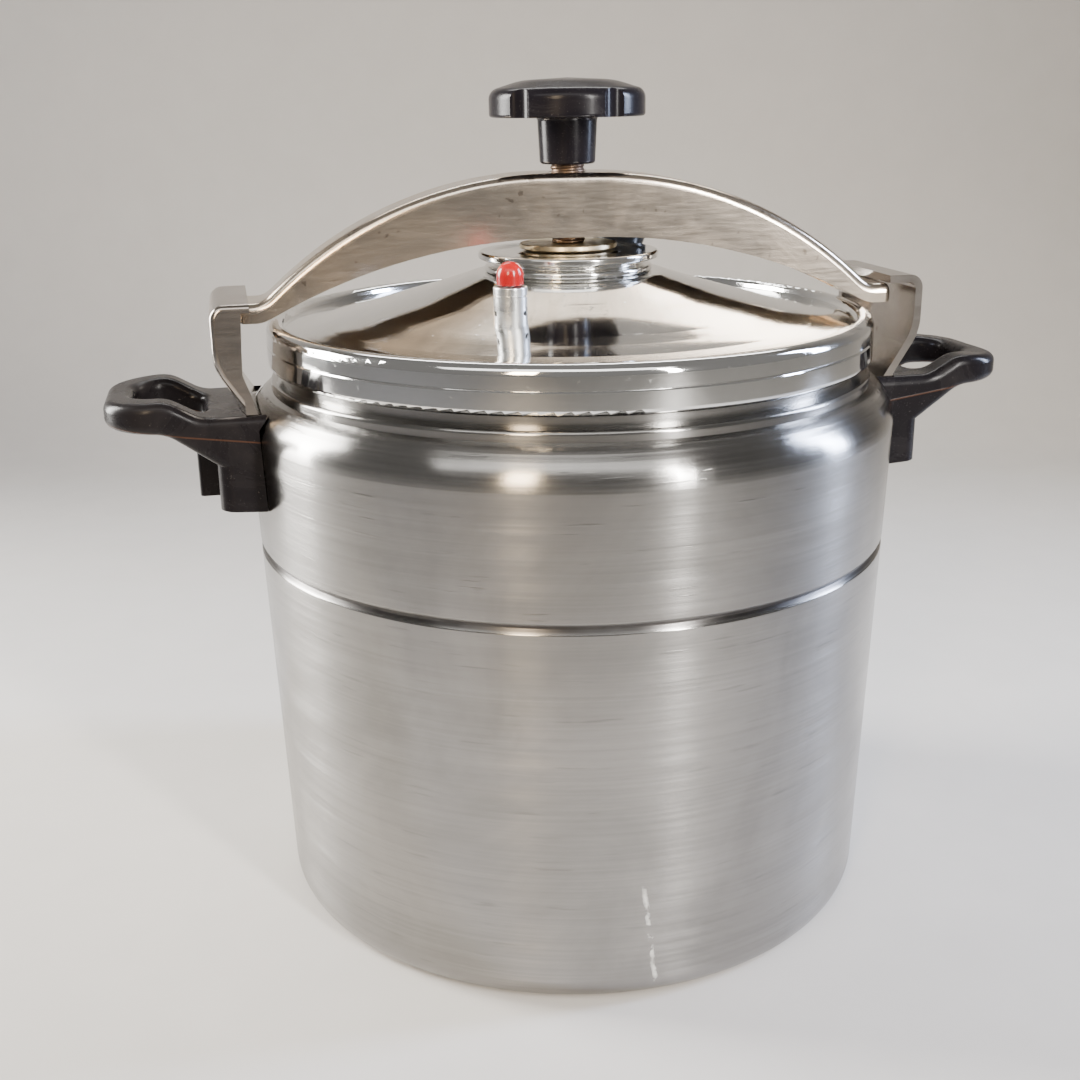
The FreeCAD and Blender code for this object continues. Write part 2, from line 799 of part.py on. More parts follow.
def make_valve_spring():
    """Compression spring between the pin's collar and the top of the chamber."""
    wire = 0.35
    mean = number("(stem_radius + valve_chamber) / 2")
    low = number("valve_seat + 2.2") + wire + 0.1
    high = number("valve_top - 1.5") - wire - 0.1
    helix = Part.makeHelix((high - low) / 5, high - low, mean)
    helix.translate(Vector(0, 0, low))
    ring = Part.Wire(Part.makeCircle(wire, Vector(mean, 0, low), Vector(0, 1, 0)))
    coil = Part.Wire(helix).makePipeShell([ring], True, True)
    spring = doc.addObject("Part::Feature", "safety_valve_spring")
    spring.Label = "safety_valve_spring"
    spring.Shape = coil
    place(spring, "0", "valve_across", "valve_angle")
    return spring


# ---------------------------------------------------------------- vent pipe and weight
def make_vent_pipe():
    """Tube through the lid with a round collar that seats on the dome."""
    collar = ring_solid([
        ("vent_bore", "lid_crown - 8"),
        ("vent_radius + 2.6", "lid_crown - 8"),
        ("vent_radius + 2.6", "lid_crown + 1.4", "0.6"),
        ("vent_bore", "lid_crown + 1.4"),
    ], 360)
    tube = ring_solid([
        ("vent_bore", "lid_crown - 14"),
        ("vent_radius", "lid_crown - 14"),
        ("vent_radius", "lid_crown - 1"),
        ("vent_radius - 0.5", "lid_crown - 1"),
        ("vent_radius - 0.5", "vent_top - 1.5"),
        ("vent_bore + 0.5", "vent_top"),
        ("vent_bore", "vent_top"),
    ], 360)
    return seated("vent_pipe", collar, under_dome(), "vent_across", "vent_angle", tube)


def make_vent_nut():
    """Nut on the pipe, inside the lid."""
    body = new_body("vent_nut")
    turned(body, "section", [
        ("vent_radius", "lid_crown - 13.5"),
        ("vent_radius + 4", "lid_crown - 13.5", "0.5"),
        ("vent_radius + 4", "lid_crown - 10"),
        ("vent_radius", "lid_crown - 10"),
    ])
    place(body, "0", "vent_across", "vent_angle")
    return body


def make_vent_washer():
    """Rubber washer between the vent nut and the lid."""
    blank = ring_solid([
        ("vent_radius", "lid_crown - 10"),
        ("vent_radius + 3", "lid_crown - 10", "0.4"),
        ("vent_radius + 3", "lid_crown - 5"),
        ("vent_radius", "lid_crown - 5"),
    ], 360)
    return seated("vent_washer", blank, lid.Shape, "vent_across", "vent_angle")


def make_weight():
    """Black mushroom cap of the regulating weight."""
    body = new_body("weight_cap")
    turned(body, "section", [
        ("vent_radius + 2.4", "weight_low"),
        ("weight_radius - 2.2", "weight_low", "1"),
        ("weight_radius", "weight_low + 6.5", "2"),
        ("weight_radius", "weight_top - 3", "3"),
        ("weight_radius - 4.5", "weight_top", "4"),
        ("0", "weight_top"),
        ("0", "vent_top + 6"),
        ("vent_radius + 2.4", "vent_top + 6"),
    ])
    place(body, "0", "vent_across", "vent_angle")
    return body


def make_weight_core():
    """Metal core of the weight: it closes the pipe with a cone and slides along it."""
    body = new_body("weight_core")
    turned(body, "section", [
        ("vent_radius - 0.42", "weight_low + 0.4"),
        ("vent_radius + 2.4", "weight_low + 0.4"),
        ("vent_radius + 2.4", "vent_top + 6"),
        ("0", "vent_top + 6"),
        ("0", "vent_top - 0.6"),
        ("vent_bore - 0.4", "vent_top + 0.4"),
        ("vent_radius - 0.42", "vent_top + 0.4"),
    ])
    place(body, "0", "vent_across", "vent_angle")
    return body


# ---------------------------------------------------------------- ears
EAR_LEAN = "0.63"


def lean_line(height, inward="0"):
    """Where the leaning part of the strap's outside is at a height, moved inward square to itself."""
    across = "ear_reach - 4 + %s * ((%s) - ear_roof_top + 29)" % (EAR_LEAN, height)
    return "%s - (%s) * sqrt(1 + %s * %s)" % (across, inward, EAR_LEAN, EAR_LEAN)


def make_ear(label, turn):
    """Steel ear: saddle on the pot wall, strap that leans out, roof over the toe, one side flange."""
    body = new_body(label)
    saddle_top = "ear_low + 39"
    inner = "%s + 0.1" % wall_at("ear_low")
    inner_top = "%s + 0.1" % wall_at(saddle_top)
    saddle = new_sketch(body, "saddle", "XZ_Plane")
    add_outline(saddle, [
        (inner, "ear_low"),
        (inner + " + ear_sheet", "ear_low", "1"),
        (inner_top + " + ear_sheet", saddle_top),
        (inner_top, saddle_top),
    ])
    turn_about_axis(body, "Revolution", saddle, "36")
    trim = new_sketch(body, "trim", "XY_Plane", "ear_low - 10")
    add_outline(trim, [("60", "-90"), ("260", "-90"), ("260", "90"), ("60", "90")])
    add_outline(trim, [
        ("80", "-ear_width / 2"),
        ("200", "-ear_width / 2"),
        ("200", "ear_width / 2"),
        ("80", "ear_width / 2"),
    ])
    pocketed(body, trim, "90", reverse=True)
    behind = new_sketch(body, "behind", "XZ_Plane")
    low = "ear_roof_top - 43"
    add_outline(behind, [
        ("90", low),
        (lean_line(low, "ear_sheet"), low),
        (lean_line("%s + 3" % saddle_top, "ear_sheet"), "%s + 3" % saddle_top),
        ("90", "%s + 3" % saddle_top),
    ])
    pocketed(body, behind, "2 * ear_width", midplane=True)
    hook = new_sketch(body, "hook", "XZ_Plane")
    foot = "ear_roof_top - 47"
    knee = "ear_roof_top - 29 + 4 / %s" % EAR_LEAN
    across = "ear_sheet * sqrt(1 + %s * %s)" % (EAR_LEAN, EAR_LEAN)
    knee_in = "ear_roof_top - 29 + (4 - ear_sheet + %s) / %s" % (across, EAR_LEAN)
    add_outline(hook, [
        (lean_line(foot, "ear_sheet"), foot),
        (lean_line(foot), foot),
        ("ear_reach", knee, "20"),
        ("ear_reach", "ear_roof_top", "5.5"),
        ("ear_roof_tip", "ear_roof_top"),
        ("ear_roof_tip", "ear_roof_top - ear_sheet"),
        ("ear_reach - ear_sheet", "ear_roof_top - ear_sheet", "2.5"),
        ("ear_reach - ear_sheet", knee_in, "23"),
    ])
    padded(body, hook, "ear_width", midplane=True)
    flange = new_sketch(body, "flange", "XZ_Plane", "-(ear_width / 2 - ear_sheet)")
    add_outline(flange, [
        ("ear_reach - 11.3", "ear_roof_top - 0.8"),
        ("ear_reach - 10.4", "ear_roof_top - 17", "30"),
        ("ear_reach - 10.1", "ear_roof_top - 25.4", "5"),
        ("ear_reach - 12.6", "ear_roof_top - 33", "8"),
        ("ear_reach - 15.6", "ear_roof_top - 44"),
        (lean_line("ear_roof_top - 44", "1"), "ear_roof_top - 44"),
        (lean_line("ear_roof_top - 29.5", "1"), "ear_roof_top - 29.5"),
        ("ear_reach - 1.5", "ear_roof_top - 21"),
        ("ear_reach - 1.5", "ear_roof_top - 6"),
        ("ear_reach - 6", "ear_roof_top - 0.8"),
    ])
    padded(body, flange, "ear_sheet", reverse=True)
    turned_cut(body, "pot_side", pot_clearance())
    holes = new_sketch(body, "rivet_holes", "YZ_Plane", "pot_base_radius - 10")
    for side in ("-", ""):
        for height in ("rivet_low", "rivet_high"):
            add_circle(holes, side + "rivet_spread", height, "rivet_radius")
    add_circle(holes, "0", "handle_screw_height", "3")
    pocketed(body, holes, "40", reverse=True)
    reach = number("ear_reach")
    back = number("ear_width") / 2
    roof = number("ear_roof_top")

    def is_bend(edge):
        """Outer edges where the roof and the strap turn into the side flange."""
        box = edge.BoundBox
        on_side = box.YMin > back - 0.01 and box.ZMin > roof - 42
        ends = [vertex.Point for vertex in edge.Vertexes]
        on_roof = min(end.z for end in ends) > roof - 0.01 and edge.Length > 3
        on_strap = max(end.x for end in ends) > reach - 0.01
        lean = all(abs(end.x - number(lean_line(str(end.z)))) < 0.3 for end in ends)
        return on_side and (on_roof or on_strap or lean)

    rounded(body, "bend", "2.2", is_bend)
    place(body, turn)
    return body


def pot_clearance():
    """Section of the space that fittings leave to the pot's wall and shoulder."""
    low = "handle_low - 12"
    high = "handle_low + 60"
    return [
        ("60", low),
        ("%s + 0.1" % wall_at(low), low),
        ("%s + 0.1" % wall_at("shoulder_height"), "shoulder_height"),
        ("collar_radius + 4.2", "collar_low - 1"),
        ("collar_radius + 4.2", high),
        ("60", high),
    ]


def make_ear_rivets(label, turn):
    """Four rivets through an ear and the pot wall, flush outside and headed inside."""
    rivets = []
    for side in (-1, 1):
        for height in ("rivet_low", "rivet_high"):
            outer = number("pot_base_radius + pot_taper * %s + ear_sheet" % height)
            inner = number("pot_base_radius + pot_taper * %s - pot_wall" % height)
            spread = number("rivet_spread")
            flush = math.sqrt(outer * outer - (spread + 2.5) ** 2)
            seat = math.sqrt(inner * inner - (spread + 4.5) ** 2)
            start = Vector(seat, side * spread, number(height))
            shank = Part.makeCylinder(number("rivet_radius"), flush - seat, start, Vector(1, 0, 0))
            head = Part.makeSphere(4.5, start, Vector(-1, 0, 0), 0, 90, 360)
            squash = FreeCAD.Matrix()
            squash.move(start.negative())
            squash.scale(Vector(0.45, 1, 1))
            squash.move(start)
            rivets.append(shank.fuse(head.transformGeometry(squash)))
    group = doc.addObject("Part::Feature", label)
    group.Label = label
    group.Shape = Part.makeCompound(rivets)
    place(group, turn)
    return group


# ---------------------------------------------------------------- handles
def rod_solid(start, length, radius):
    """Round bar along X at the height of the handle's screw."""
    end = Vector(number(start), 0, number("handle_screw_height"))
    return Part.makeCylinder(number(radius), number(length), end, Vector(1, 0, 0))


def loop_solid():
    """Blank of a handle: base block and loop with softened rims, before it is fitted to the pot."""
    loop = side_solid([
        ("handle_back - 26", "handle_low - 1.5"),
        ("handle_back", "handle_low"),
        ("handle_back", "handle_low + 17.5"),
        ("handle_reach - 22", "handle_low + 29.8", "14"),
        ("handle_reach + 8", "handle_low + 31.4"),
        ("handle_reach + 8", "handle_low + 40.2"),
        ("handle_reach - 23", "handle_low + 42", "14"),
        ("handle_back + 4", "handle_low + 35", "14"),
        ("handle_back - 26", "handle_low + 35"),
    ], "handle_width")
    loop = loop.common(plan_solid([
        ("70", "-handle_width / 2 + 0.5"),
        ("handle_reach", "-handle_width / 2 + 0.5", "19"),
        ("handle_reach", "handle_width / 2 - 0.5", "19"),
        ("70", "handle_width / 2 - 0.5"),
    ], "handle_low - 20", "handle_low + 90"))
    back = number("handle_back")
    low = number("handle_low")

    def is_block_corner(edge):
        """Upright outer corners of the base block."""
        box = edge.BoundBox
        upright = box.ZMax - box.ZMin > 12 and box.XMax - box.XMin < 0.01
        return upright and abs(box.XMin - back) < 0.01

    loop = loop.makeFillet(6, [edge for edge in loop.Edges if is_block_corner(edge)])
    loop = loop.cut(plan_solid([
        ("hole_near", "-hole_width / 2", "7"),
        ("hole_far", "-hole_width / 2", "11"),
        ("hole_far", "hole_width / 2", "11"),
        ("hole_near", "hole_width / 2", "7"),
    ], "handle_low - 20", "handle_low + 90"))
    walls = [number("handle_reach"), number("hole_far"), number("hole_near")]

    def is_rim(edge):
        """Upper and lower rims of the loop, outside and in the finger hole."""
        box = edge.BoundBox
        upright = box.ZMax - box.ZMin > 5 and max(box.XMax - box.XMin, box.YMax - box.YMin) < 1
        across = box.XMax - box.XMin < 0.01
        at_wall = min(abs(box.XMin - wall) for wall in walls) < 0.01
        return box.XMax > back + 0.5 and box.ZMin > low + 10 and not upright and (at_wall or not across)

    return loop.makeFillet(number("handle_round"), [edge for edge in loop.Edges if is_rim(edge)])


def make_handle(label, turn):
    """Moulded loop handle: base block with a screw boss, two arms and the finger hole between them."""
    solid = loop_solid().fuse(plan_solid([
        ("handle_back - 4", "-handle_boss_width / 2"),
        ("handle_boss", "-handle_boss_width / 2", "2"),
        ("handle_boss", "handle_boss_width / 2", "2"),
        ("handle_back - 4", "handle_boss_width / 2"),
    ], "handle_low + 0.5", "handle_low + 21.5"))
    solid = solid.cut(ring_solid(pot_clearance(), 360))
    bottom = "handle_low - 12"
    top = "ear_low + 38"
    saddle = "ear_sheet + 0.25"
    solid = solid.cut(ring_solid([
        ("60", bottom),
        ("%s + %s" % (wall_at(bottom), saddle), bottom),
        ("%s + %s" % (wall_at(top), saddle), top),
        ("60", top),
    ], 2 * math.degrees(math.asin(number("(ear_width / 2 + 0.3) / 126")))))
    solid = solid.cut(rod_solid("pot_base_radius", "ear_reach - pot_base_radius - 3", "5.6"))
    solid = solid.cut(rod_solid("pot_base_radius", "60", "2.6"))
    solid = solid.cut(rod_solid("handle_boss - 4", "30", "5"))
    handle = doc.addObject("Part::Feature", label)
    handle.Label = label
    handle.Shape = solid
    place(handle, turn)
    return handle


def make_handle_nut(label, turn):
    """Nut welded to the ear, in a pocket at the back of the handle."""
    body = new_body(label)
    start = "%s + ear_sheet + 0.4" % wall_at("handle_screw_height")
    sketch = new_sketch(body, "ring", "YZ_Plane", start)
    add_circle(sketch, "0", "handle_screw_height", "5.2")
    add_circle(sketch, "0", "handle_screw_height", "2.5")
    padded(body, sketch, "4")
    place(body, turn)
    return body


def make_handle_screw(label, turn):
    """Pan-head screw sunk in the handle's boss and threaded into the nut on the ear."""
    body = new_body(label)
    start = "%s + 0.6" % wall_at("handle_screw_height")
    shank = new_sketch(body, "shank", "YZ_Plane", start)
    add_circle(shank, "0", "handle_screw_height", "2.5")
    padded(body, shank, "handle_boss - 4 - (%s)" % start)
    head = new_sketch(body, "head", "YZ_Plane", "handle_boss - 4")
    add_circle(head, "0", "handle_screw_height", "4.7")
    padded(body, head, "2.8")
    slot = new_sketch(body, "slot", "YZ_Plane", "handle_boss - 2.4")
    add_outline(slot, [
        ("-6", "handle_screw_height - 0.6"),
        ("6", "handle_screw_height - 0.6"),
        ("6", "handle_screw_height + 0.6"),
        ("-6", "handle_screw_height + 0.6"),
    ])
    pocketed(body, slot, "5", reverse=True)
    place(body, turn)
    return body


# ---------------------------------------------------------------- build, check and write
pot = make_pot()
lid = make_lid()
nodes = [pot, lid, make_gasket(), make_boss(), make_boss_nut()]
nodes += [make_bridge(), make_bridge_nut(), make_spindle(), make_foot(), make_knob(), make_knob_insert()]
nodes += [make_valve_body(), make_valve_nut(), make_valve_washer(), make_valve_stem()]
nodes += [make_valve_seal(), make_valve_cap(), make_valve_spring()]
nodes += [make_vent_pipe(), make_vent_nut(), make_vent_washer(), make_weight(), make_weight_core()]
for side, turn in (("right", "0"), ("left", "180")):
    nodes.append(make_ear(side + "_ear", turn))
    nodes.append(make_ear_rivets(side + "_ear_rivets", turn))
    nodes.append(make_handle(side + "_handle", turn))
    nodes.append(make_handle_nut(side + "_handle_nut", turn))
    nodes.append(make_handle_screw(side + "_handle_screw", turn))
doc.recompute()

for item in doc.Objects:
    if "Invalid" in item.State or "Error" in item.State:
        raise RuntimeError(item.Name + " did not recompute")
os.makedirs("parts", exist_ok=True)
for node in nodes:
    shape = node.Shape
    if shape.isNull() or not shape.isValid():
        raise RuntimeError(node.Label + " has no valid shape")
    shape.exportStep("parts/%s.step" % node.Label)
    print(node.Label, len(shape.Solids), round(shape.Volume, 1), "mm3")
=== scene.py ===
"""Looks of a stovetop pressure cooker: polished aluminium, satin steel and black moulded resin."""
import math

import bmesh
import bpy
from mathutils import Matrix, Vector


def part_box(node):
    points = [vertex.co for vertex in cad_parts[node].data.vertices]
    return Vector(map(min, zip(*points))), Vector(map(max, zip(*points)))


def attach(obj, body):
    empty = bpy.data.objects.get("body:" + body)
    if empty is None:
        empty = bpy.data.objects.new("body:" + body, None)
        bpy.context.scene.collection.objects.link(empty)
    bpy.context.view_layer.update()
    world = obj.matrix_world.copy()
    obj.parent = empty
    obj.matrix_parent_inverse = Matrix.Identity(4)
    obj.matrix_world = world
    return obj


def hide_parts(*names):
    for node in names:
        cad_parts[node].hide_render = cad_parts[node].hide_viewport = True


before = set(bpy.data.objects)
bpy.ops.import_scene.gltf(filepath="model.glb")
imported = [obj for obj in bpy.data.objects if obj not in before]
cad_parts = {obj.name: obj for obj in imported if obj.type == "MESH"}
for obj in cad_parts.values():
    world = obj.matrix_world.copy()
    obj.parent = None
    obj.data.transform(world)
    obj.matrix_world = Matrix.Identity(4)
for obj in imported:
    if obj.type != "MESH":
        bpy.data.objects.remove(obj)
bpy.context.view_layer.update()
MM = 0.001


# ---------------------------------------------------------------- camera
EYE = Vector((-130.6, -523.97, 316.1)) * MM
HEADING = math.radians(-14.0)
PITCH = math.radians(18.18)
ROLL = math.radians(-0.4)
YAW = math.radians(1.269)
FOCAL = 45.43


def make_camera():
    """Camera at the height and bearing that the object is seen from."""
    turn = Matrix.Rotation(HEADING, 3, "Z")
    ahead = turn @ Vector((0, math.cos(PITCH), -math.sin(PITCH)))
    above = turn @ Vector((0, math.sin(PITCH), math.cos(PITCH)))
    right = turn @ Vector((1, 0, 0))
    tilted_right = right * math.cos(ROLL) + above * math.sin(ROLL)
    tilted_up = above * math.cos(ROLL) - right * math.sin(ROLL)
    view_right = tilted_right * math.cos(YAW) + ahead * math.sin(YAW)
    view_back = -(ahead * math.cos(YAW) - tilted_right * math.sin(YAW))
    camera = bpy.data.objects.new("camera", bpy.data.cameras.new("camera"))
    bpy.context.scene.collection.objects.link(camera)
    basis = Matrix((view_right, tilted_up, view_back)).transposed().to_4x4()
    camera.matrix_world = Matrix.Translation(EYE) @ basis
    camera.data.sensor_width = 36.0
    camera.data.lens = FOCAL
    camera.data.clip_start = 0.01
    bpy.context.scene.camera = camera


# ---------------------------------------------------------------- material helpers
# Sockets of a Mix node when it mixes colours.
COLOR_A = 6
COLOR_B = 7
COLOR_RESULT = 2


class Paint:
    """A node material around one Principled shader, with short calls for what it is built from."""

    def __init__(self, name, color, metallic, roughness):
        self.material = bpy.data.materials.new(name)
        self.material.use_nodes = True
        self.tree = self.material.node_tree
        self.shader = self.tree.nodes["Principled BSDF"]
        self.shader.inputs["Base Color"].default_value = (*color, 1.0)
        self.shader.inputs["Metallic"].default_value = metallic
        self.shader.inputs["Roughness"].default_value = roughness
        self.place = self.node("ShaderNodeTexCoord").outputs["Object"]

    def node(self, kind, **settings):
        made = self.tree.nodes.new(kind)
        for key, value in settings.items():
            setattr(made, key, value)
        return made

    def link(self, source, target):
        self.tree.links.new(source, target)

    def scaled(self, stretch, source=None):
        """Object coordinates stretched along X, Y and Z."""
        mapping = self.node("ShaderNodeMapping")
        mapping.inputs["Scale"].default_value = stretch
        self.link(source or self.place, mapping.inputs["Vector"])
        return mapping.outputs["Vector"]

    def around(self, x=0.0, y=0.0):
        """Turn in radians, radius and height about an upright axis, as one vector."""
        split = self.node("ShaderNodeSeparateXYZ")
        self.link(self.place, split.inputs[0])
        across = self.math("SUBTRACT", split.outputs[0], x)
        deep = self.math("SUBTRACT", split.outputs[1], y)
        across_squared = self.math("MULTIPLY", across, across)
        deep_squared = self.math("MULTIPLY", deep, deep)
        radius = self.math("SQRT", self.math("ADD", across_squared, deep_squared))
        angle = self.math("ARCTAN2", deep, across)
        joined = self.node("ShaderNodeCombineXYZ")
        self.link(angle, joined.inputs[0])
        self.link(radius, joined.inputs[1])
        self.link(split.outputs[2], joined.inputs[2])
        return joined.outputs[0]

    def math(self, operation, first, second=None):
        made = self.node("ShaderNodeMath", operation=operation)
        for socket, value in zip(made.inputs, (first, second)):
            if value is None:
                continue
            if isinstance(value, (int, float)):
                socket.default_value = value
            else:
                self.link(value, socket)
        return made.outputs[0]

    def noise(self, vector, scale, detail=3.0, roughness=0.55, distortion=0.0):
        made = self.node("ShaderNodeTexNoise")
        made.inputs["Scale"].default_value = scale
        made.inputs["Detail"].default_value = detail
        made.inputs["Roughness"].default_value = roughness
        made.inputs["Distortion"].default_value = distortion
        self.link(vector, made.inputs["Vector"])
        return made.outputs["Fac"]

    def ramp(self, value, low, high, start=0.0, end=1.0):
        """Maps low..high of a value to start..end, held at both ends."""
        made = self.node("ShaderNodeMapRange", clamp=True)
        self.link(value, made.inputs["Value"])
        ends = {"From Min": low, "From Max": high, "To Min": start, "To Max": end}
        for key, number in ends.items():
            made.inputs[key].default_value = number
        return made.outputs["Result"]

    def blend(self, factor, first, second, mode="MIX"):
        """Mix of two colours."""
        made = self.node("ShaderNodeMix", data_type="RGBA", blend_type=mode)
        sockets = (made.inputs["Factor"], made.inputs[COLOR_A], made.inputs[COLOR_B])
        for socket, value in zip(sockets, (factor, first, second)):
            if isinstance(value, (int, float)):
                socket.default_value = value
            elif isinstance(value, tuple):
                socket.default_value = (*value, 1.0)
            else:
                self.link(value, socket)
        return made.outputs[COLOR_RESULT]

    def color(self, socket):
        self.link(socket, self.shader.inputs["Base Color"])

    def rough(self, socket):
        self.link(socket, self.shader.inputs["Roughness"])

    def bump(self, height, distance, strength=1.0):
        """Bump from a height between 0 and 1, distance in metres; calls add up."""
        made = self.node("ShaderNodeBump")
        made.inputs["Distance"].default_value = distance
        made.inputs["Strength"].default_value = strength
        self.link(height, made.inputs["Height"])
        before = self.shader.inputs["Normal"].links
        if before:
            self.link(before[0].from_socket, made.inputs["Normal"])
        self.link(made.outputs["Normal"], self.shader.inputs["Normal"])

    def brushed_about_z(self, amount):
        """Stretch reflections at right angles to turning lines that run around Z."""
        tangent = self.node("ShaderNodeTangent", direction_type="RADIAL", axis="Z")
        self.shader.inputs["Anisotropic"].default_value = amount
        self.shader.inputs["Anisotropic Rotation"].default_value = 0.25
        self.link(tangent.outputs[0], self.shader.inputs["Tangent"])


def turned_metal(name, color, rough, lines, line_depth, anisotropy, smudge=0.06, dark=0.86):
    """Aluminium with turning lines around Z, scratches along them, cloudy wear and wiped smudges."""
    paint = Paint(name, color, 1.0, rough)
    ring = paint.around()
    fine = paint.noise(paint.scaled((1.2, lines, lines), ring), 1.0, 4.0, 0.7)
    broad = paint.noise(paint.scaled((0.8, 60.0, 60.0), ring), 1.0, 2.0, 0.5)
    cloud = paint.noise(paint.place, 14.0, 5.0, 0.62, distortion=0.8)
    wipe = paint.noise(paint.scaled((3.0, 3.0, 26.0)), 3.0, 4.0, 0.6)
    scratch = paint.ramp(paint.noise(paint.scaled((5.0, 620.0, 620.0), ring), 1.0, 2.0, 0.5), 0.66, 0.72)
    lined = paint.ramp(fine, 0.3, 0.72, 0.80, 1.0)
    shade = paint.math("MULTIPLY", lined, paint.ramp(broad, 0.3, 0.7, 0.93, 1.0))
    shade = paint.math("MULTIPLY", shade, paint.ramp(scratch, 0.0, 1.0, 1.0, 0.84))
    shade = paint.math("MULTIPLY", shade, paint.ramp(cloud, 0.35, 0.62, dark, 1.0))
    gray = paint.node("ShaderNodeCombineColor")
    for socket in gray.inputs:
        if socket.name in ("Red", "Green", "Blue"):
            paint.link(shade, socket)
    paint.color(paint.blend(1.0, color, gray.outputs[0], "MULTIPLY"))
    wiped = paint.ramp(wipe, 0.35, 0.7, 0.0, smudge)
    uneven = paint.math("ADD", wiped, paint.ramp(fine, 0.35, 0.7, 0.0, 0.05))
    paint.rough(paint.math("ADD", uneven, rough))
    paint.bump(fine, line_depth, 0.6)
    paint.bump(scratch, line_depth, 0.5)
    paint.brushed_about_z(anisotropy)
    return paint


def mirror_metal(name, color, rough, anisotropy=0.25):
    """Polished lid metal: near mirror, with faint polishing rings and hazy spots."""
    paint = Paint(name, color, 1.0, rough)
    ring = paint.around()
    fine = paint.noise(paint.scaled((2.0, 900.0, 900.0), ring), 1.0, 3.0, 0.6)
    haze = paint.noise(paint.place, 22.0, 5.0, 0.6, distortion=0.6)
    spots = paint.noise(paint.place, 420.0, 2.0, 0.5)
    paint.color(paint.blend(paint.ramp(haze, 0.4, 0.66), color, tuple(0.88 * part for part in color)))
    hazy = paint.ramp(haze, 0.45, 0.72, 0.0, 0.07)
    uneven = paint.math("ADD", hazy, paint.ramp(spots, 0.66, 0.74, 0.0, 0.12))
    paint.rough(paint.math("ADD", uneven, rough))
    paint.bump(fine, 0.000012, 0.35)
    paint.bump(haze, 0.0002, 0.25)
    paint.brushed_about_z(anisotropy)
    return paint


def sheet_steel(name, color, rough, tint, spots_from):
    """Pressed stainless sheet: satin grain along the strap, warm stains and small dark pits."""
    paint = Paint(name, color, 1.0, rough)
    grain = paint.noise(paint.scaled((26.0, 900.0, 900.0)), 1.0, 4.0, 0.65)
    stain = paint.noise(paint.place, 17.0, 5.0, 0.6, distortion=1.2)
    pits = paint.noise(paint.place, 260.0, 2.0, 0.55)
    base = paint.blend(paint.ramp(stain, 0.38, 0.68), color, tint)
    pitted = paint.ramp(pits, spots_from, spots_from + 0.05, 0.0, 0.55)
    paint.color(paint.blend(pitted, base, (0.16, 0.12, 0.09)))
    stained = paint.ramp(stain, 0.35, 0.7, 0.0, 0.09)
    uneven = paint.math("ADD", stained, paint.ramp(grain, 0.35, 0.7, 0.0, 0.05))
    paint.rough(paint.math("ADD", uneven, rough))
    paint.bump(grain, 0.00002, 0.5)
    paint.bump(stain, 0.0004, 0.3)
    return paint


def moulded_resin(name, color, rough):
    """Black thermoset moulding: glossy skin with slight orange peel, dust and rubbed spots."""
    paint = Paint(name, color, 0.0, rough)
    peel = paint.noise(paint.place, 320.0, 3.0, 0.5)
    waves = paint.noise(paint.place, 42.0, 2.0, 0.5)
    rubbed = paint.noise(paint.place, 30.0, 5.0, 0.65, distortion=0.8)
    dust = paint.noise(paint.place, 1500.0, 2.0, 0.6)
    worn = paint.blend(paint.ramp(rubbed, 0.45, 0.72, 0.0, 0.55), color, (0.020, 0.017, 0.017))
    paint.color(paint.blend(paint.ramp(dust, 0.68, 0.76, 0.0, 0.5), worn, (0.11, 0.10, 0.095)))
    matte = paint.ramp(rubbed, 0.4, 0.7, 0.0, 0.14)
    uneven = paint.math("ADD", matte, paint.ramp(dust, 0.62, 0.75, 0.0, 0.12))
    paint.rough(paint.math("ADD", uneven, rough))
    paint.bump(waves, 0.0006, 0.2)
    paint.bump(peel, 0.00005, 0.35)
    paint.shader.inputs["Specular IOR Level"].default_value = 0.12
    paint.shader.inputs["Coat Weight"].default_value = 0.02
    paint.shader.inputs["Coat Roughness"].default_value = 0.08
    return paint


PARTING_START = 119.7 * MM
PARTING_HEIGHT = 195.8 * MM
PARTING_SLOPE = 0.14


def with_parting_line_highlight(paint):
    """Mould parting line along the sides of a handle, where its mould halves met: a thin raised ridge,
    with a brown painted highlight along it.
    """
    split = paint.node("ShaderNodeSeparateXYZ")
    paint.link(paint.place, split.inputs[0])
    along = paint.math("SUBTRACT", paint.math("ABSOLUTE", split.outputs[0]), PARTING_START)
    level = paint.math("ADD", paint.math("MULTIPLY", along, PARTING_SLOPE), PARTING_HEIGHT)
    off = paint.math("ABSOLUTE", paint.math("SUBTRACT", split.outputs[2], level))
    line = paint.ramp(off, 0.12 * MM, 0.42 * MM, 1.0, 0.0)
    before = paint.shader.inputs["Base Color"].links[0].from_socket
    # Painted highlight: thin warm brown line along the parting ridge; the bump below is the ridge itself.
    paint.color(paint.blend(paint.math("MULTIPLY", line, 0.7), before, (0.06, 0.026, 0.014)))
    paint.bump(line, 0.00012, 0.6)
    return paint


def soft_rubber(name):
    """Matte black rubber with a fine grain."""
    paint = Paint(name, (0.03, 0.03, 0.03), 0.0, 0.62)
    grain = paint.noise(paint.place, 900.0, 3.0, 0.6)
    cloud = paint.noise(paint.place, 40.0, 3.0, 0.5)
    paint.color(paint.blend(paint.ramp(cloud, 0.35, 0.7), (0.025, 0.025, 0.025), (0.055, 0.053, 0.05)))
    paint.bump(grain, 0.00008, 0.6)
    return paint


# Heights over which the cap's red is painted lighter, as painted light on its top.
CROWN_LOW = 256.5 * MM
CROWN_HIGH = 261.4 * MM


